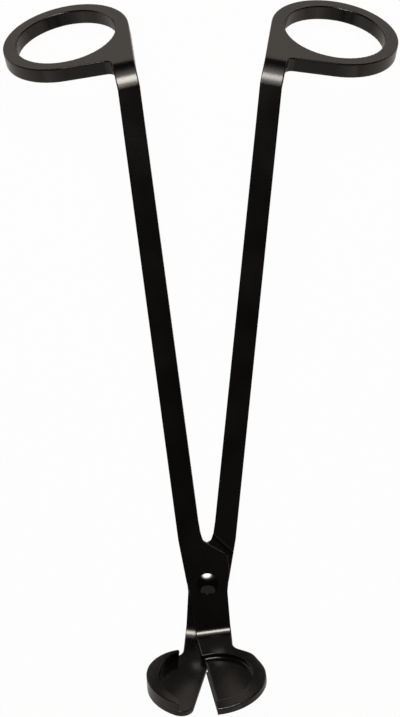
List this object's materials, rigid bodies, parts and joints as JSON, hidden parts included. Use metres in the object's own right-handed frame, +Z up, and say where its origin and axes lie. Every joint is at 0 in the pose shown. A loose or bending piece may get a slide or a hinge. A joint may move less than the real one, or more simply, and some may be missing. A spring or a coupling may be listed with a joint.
{
  "type": "wick trimmer",
  "caption": "Scissor-action candle wick trimmer: two crossed bent levers with finger loops, angled tray jaws that catch the cut wick, and a domed pivot.",
  "frame": {"origin": "centre of the bounding box at its lowest plane, with the trimmer lying on its back on the back jaw's bend and both finger loops", "axes": "+Y from the jaws to the finger loops, +Z up out of the front face, +X to the right with the front lever's loop on the left"},
  "size_m": [0.103, 0.1904, 0.0317],
  "materials": {
    "coated_steel": "satin",
    "pivot_black": "gloss",
    "washer_steel": "satin"
  },
  "bodies": {
    "back_half": {"back_lever": "coated_steel", "tray_rim": "coated_steel", "pivot_barrel": "pivot_black", "pivot_screw": "pivot_black", "slip_washer": "washer_steel", "spring_washer": "washer_steel", "back_washer": "washer_steel"},
    "front_half": {"front_lever": "coated_steel"}
  },
  "joints": [
    {"name": "pivot", "type": "hinge", "parent": "back_half", "child": "front_half", "pos_m": [0, -0.05945, 0.00437], "axis": [0, -0.1985, 0.9801], "range_deg": [-13.5, 16.5]}
  ]
}
